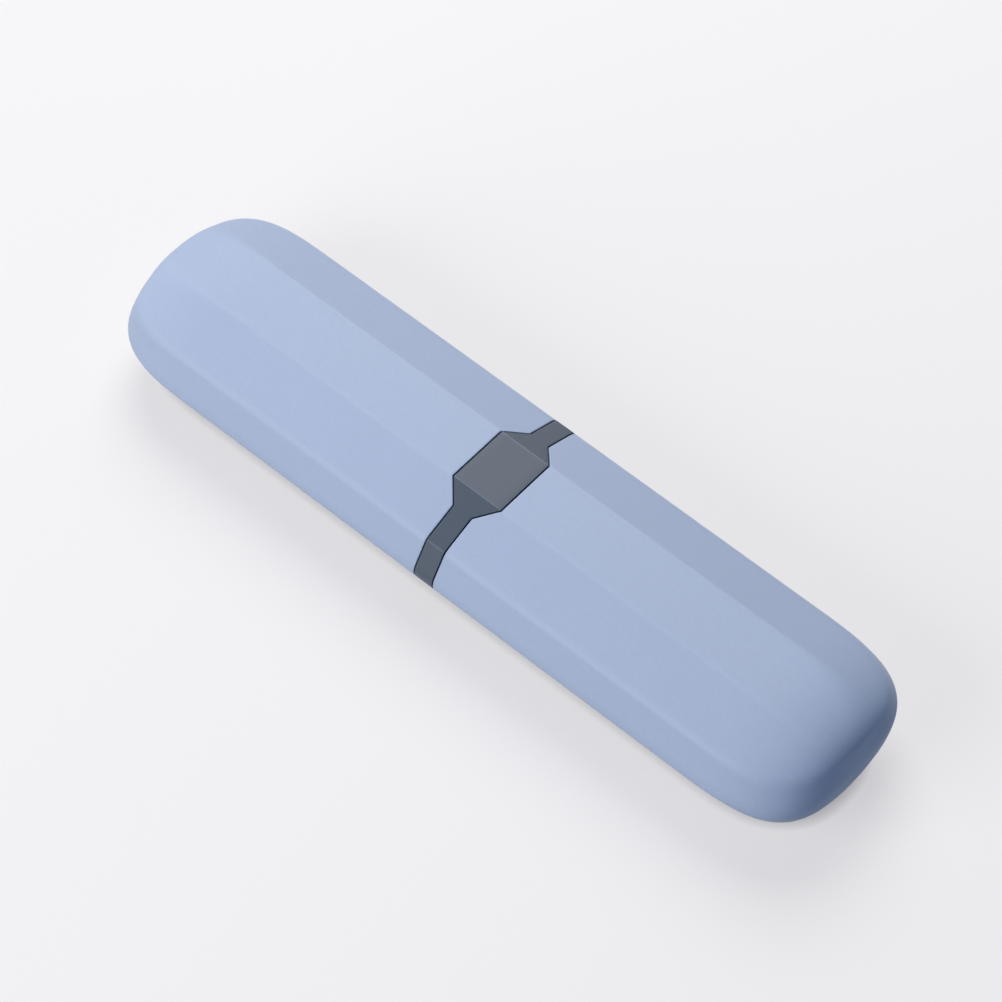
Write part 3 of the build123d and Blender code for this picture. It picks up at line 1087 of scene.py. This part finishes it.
rolled_steel = make_steel("rolled_spring_steel", STEEL, line_length=9 * MM, roughness=0.24)
formed_rivet = make_steel("formed_rivet_metal", RIVET, line_length=0.3 * MM, roughness=0.3)
print("steel ready")

# %% [markdown]
# The finishes are now given out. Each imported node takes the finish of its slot, and the new meshes take
# theirs. The sleeve shares a slot with the collar but has its own polish.

# %% Dress every piece
SLOT_FINISHES = {
    "shell": blue_shell,
    "trim": slate_sleeve,
    "inner_moulding": pale_moulding,
    "soft_rubber": soft_rubber,
    "spring_steel": rolled_steel,
    "rivet_metal": formed_rivet,
    "peg_plastic": white_peg,
}
NEW_PIECES = (
    (cap_skin, blue_shell),
    (base_skin, blue_shell),
    (collar_band, slate_trim),
    (button_plate, slate_trim),
    (bent_leaf, rolled_steel),
    (sunk_spring, rolled_steel),
)
packed_pieces = frame["record"]["subparts"]


def dress(piece, material):
    """Give a piece one finish in all its material slots."""
    for place in piece.material_slots:
        place.material = material
    if not piece.material_slots:
        piece.data.materials.append(material)


for subpart in packed_pieces:
    dress(frame["nodes"][subpart["node"]], SLOT_FINISHES[subpart["material_slot"]])
for piece, material in NEW_PIECES:
    dress(piece, material)
print("dressed", len(packed_pieces), "packed nodes and", len(NEW_PIECES), "new pieces")

# %% [markdown]
# The camera stands in front of the base half, high up and a good metre away, with a long lens. A shorter
# lens from close by would make the near end look swollen. It looks at the collar and is tilted a little
# about its own axis, so that the case lies across the frame.

# %% Camera
CAMERA_PLACE = Vector((387.4, -488.2, 928.0)) * MM
CAMERA_AIM = Vector((-1.85, 1.72, 16.9)) * MM
CAMERA_ROLL = math.radians(3.0)
LENS_LENGTH = 149.5
SENSOR_WIDTH = 36.0
camera_data = bpy.data.cameras.new("studio_camera")
camera_data.sensor_width = SENSOR_WIDTH
camera_data.lens = LENS_LENGTH
camera = bpy.data.objects.new("studio_camera", camera_data)
scene.collection.objects.link(camera)
camera.rotation_mode = "QUATERNION"
camera.location = CAMERA_PLACE
level = (CAMERA_AIM - CAMERA_PLACE).to_track_quat("-Z", "Y")
camera.rotation_quaternion = level @ Quaternion((0.0, 0.0, 1.0), CAMERA_ROLL)
scene.camera = camera
print("camera", round((CAMERA_PLACE - CAMERA_AIM).length, 3), "m from the collar")

# %% [markdown]
# The light is plain and soft. An image of a studio could give it, but panels can be aimed at the facets
# one by one. A wide panel hangs above the case, towards its cap and its far side, and another stands in
# front. They make the facets nearly equal in tone, with the top the lightest, and a weak third one lifts
# the far side. Little shines from the right: one weak, bluish panel, so the base half's rounded end falls
# into shade, which shows how blunt it is.

# %% Lamps
scene.view_settings.view_transform = "Standard"
LIGHT_AIM = Vector((0.0, 0.0, mid_height))
WHITE_LIGHT = (1.0, 1.0, 1.0)
SKY_LIGHT = (0.37, 0.61, 1.0)


def add_panel(name, direction, distance, size, strength, tint=WHITE_LIGHT):
    """A square soft panel that faces the case."""
    data = bpy.data.lights.new(name, "AREA")
    data.size = size
    data.energy = strength
    data.color = tint
    panel = bpy.data.objects.new(name, data)
    panel.location = LIGHT_AIM + Vector(direction).normalized() * distance
    panel.rotation_mode = "QUATERNION"
    panel.rotation_quaternion = (LIGHT_AIM - panel.location).to_track_quat("-Z", "Y")
    scene.collection.objects.link(panel)


add_panel("overhead_panel", (-0.45, 0.5, 0.8), distance=1.0, size=0.7, strength=7.85)
add_panel("front_panel", (-0.3, -0.9, 0.4), distance=1.1, size=0.8, strength=10.3)
add_panel("rear_panel", (-0.4, 0.87, 0.5), distance=1.1, size=0.8, strength=1.4)
add_panel("right_panel", (1.0, -0.3, 0.2), distance=1.1, size=0.8, strength=2.15, tint=SKY_LIGHT)
print("lights", [light.name for light in bpy.data.lights])

# %% [markdown]
# The world lights the case only dimly. A direct look at it, also in a mirror or through glass, finds the
# near-white of a studio wall instead. The kind of ray that arrives tells the two apart.

# %% World
WORLD_LIGHT = (0.006, 0.03, 0.06, 1.0)
WORLD_SEEN = (0.89, 0.89, 0.9, 1.0)


def direct_rays(finish):
    """1 for what the camera sees directly, mirrored or through glass, 0 for the light that it gives."""
    kinds = ("Is Camera Ray", "Is Glossy Ray", "Is Transmission Ray")
    rays = [finish.add("ShaderNodeLightPath", {}, {}, kind) for kind in kinds]
    return rays[0] + rays[1] + rays[2]


scene.world = bpy.data.worlds.new("studio_world")
surroundings = Finish(scene.world, "Background", Strength=1.0)
surroundings.set("Color", surroundings.blend(direct_rays(surroundings), WORLD_LIGHT, WORLD_SEEN))
print("world", len(scene.world.node_tree.nodes), "nodes")

# %% [markdown]
# The floor looks like a near-white card that keeps the case's soft shadow. The camera, and anything that
# mirrors the floor, also sees a glow in it, as from a lit table, which keeps the shadow light. Where the
# case lies close above the floor the glow fades out, which paints a dark contact shadow there. Far away
# the glow takes over, where the panels no longer reach. The light that the floor bounces back is that of a
# darker card, or it would fill the shaded end. Slow clouds of tone keep it from being empty paper.

# %% Floor
FLOOR_HALF = 3.0
FLOOR_SEEN = (0.36, 0.355, 0.36, 1.0)
FLOOR_CLOUDED = (0.34, 0.335, 0.34, 1.0)
FLOOR_CLOUD_SIZE = 0.35
FLOOR_BOUNCE = (0.24, 0.24, 0.25, 1.0)
FLOOR_GLOW = (0.575, 0.565, 0.57, 1.0)
FAR_SEEN = (0.08, 0.08, 0.08, 1.0)
FAR_GLOW = (0.84, 0.835, 0.84, 1.0)
FAR_START = 0.25
FAR_STOP = 0.9
NO_GLOW = (0.0, 0.0, 0.0, 1.0)
GLOW_REACH = 6 * MM
GLOW_SAMPLES = 6
CARD_GRAIN = 2 * MM
CARD_DEPTH = 0.02 * MM


def make_floor_finish():
    """Matt card that looks near-white and gives little light back to what lies on it."""
    finish = new_finish("pale_floor", Roughness=0.9, Emission_Strength=1.0, Specular_IOR_Level=0.0)
    away = finish.add("ShaderNodeVectorMath", {"operation": "LENGTH"}, {0: place_on(finish)}, "Value")
    far = finish.spread(away, FAR_START, FAR_STOP)
    clouded = finish.blend(grain(finish, FLOOR_CLOUD_SIZE, detail=2.0), FLOOR_CLOUDED, FLOOR_SEEN)
    seen = finish.blend(far, clouded, FAR_SEEN)
    glow = finish.blend(far, FLOOR_GLOW, FAR_GLOW)
    direct = direct_rays(finish)
    settings = {"samples": GLOW_SAMPLES}
    # The glow fades where the case is near, which paints a contact shadow under and beside it.
    uncovered = finish.add("ShaderNodeAmbientOcclusion", settings, {"Distance": GLOW_REACH}, "AO")
    finish.set("Base Color", finish.blend(direct, FLOOR_BOUNCE, seen))
    finish.set("Emission Color", finish.blend(direct * uncovered, NO_GLOW, glow))
    relief(finish, grain(finish, CARD_GRAIN), CARD_DEPTH)
    return finish.owner


floor_mesh = bpy.data.meshes.new("studio_floor")
corners = [(x * FLOOR_HALF, y * FLOOR_HALF, 0.0) for x, y in ((-1, -1), (1, -1), (1, 1), (-1, 1))]
floor_mesh.from_pydata(corners, [], [(0, 1, 2, 3)])
floor = bpy.data.objects.new("studio_floor", floor_mesh)
scene.collection.objects.link(floor)
dress(floor, make_floor_finish())
print("floor", FLOOR_HALF * 2, "m wide")

# %% [markdown]
# Last, the imported model's box is printed, in millimetres. The dressing must not make the case
# larger.

print("packed box", [round(v / MM, 3) for v in (*cad_low, *cad_high)])
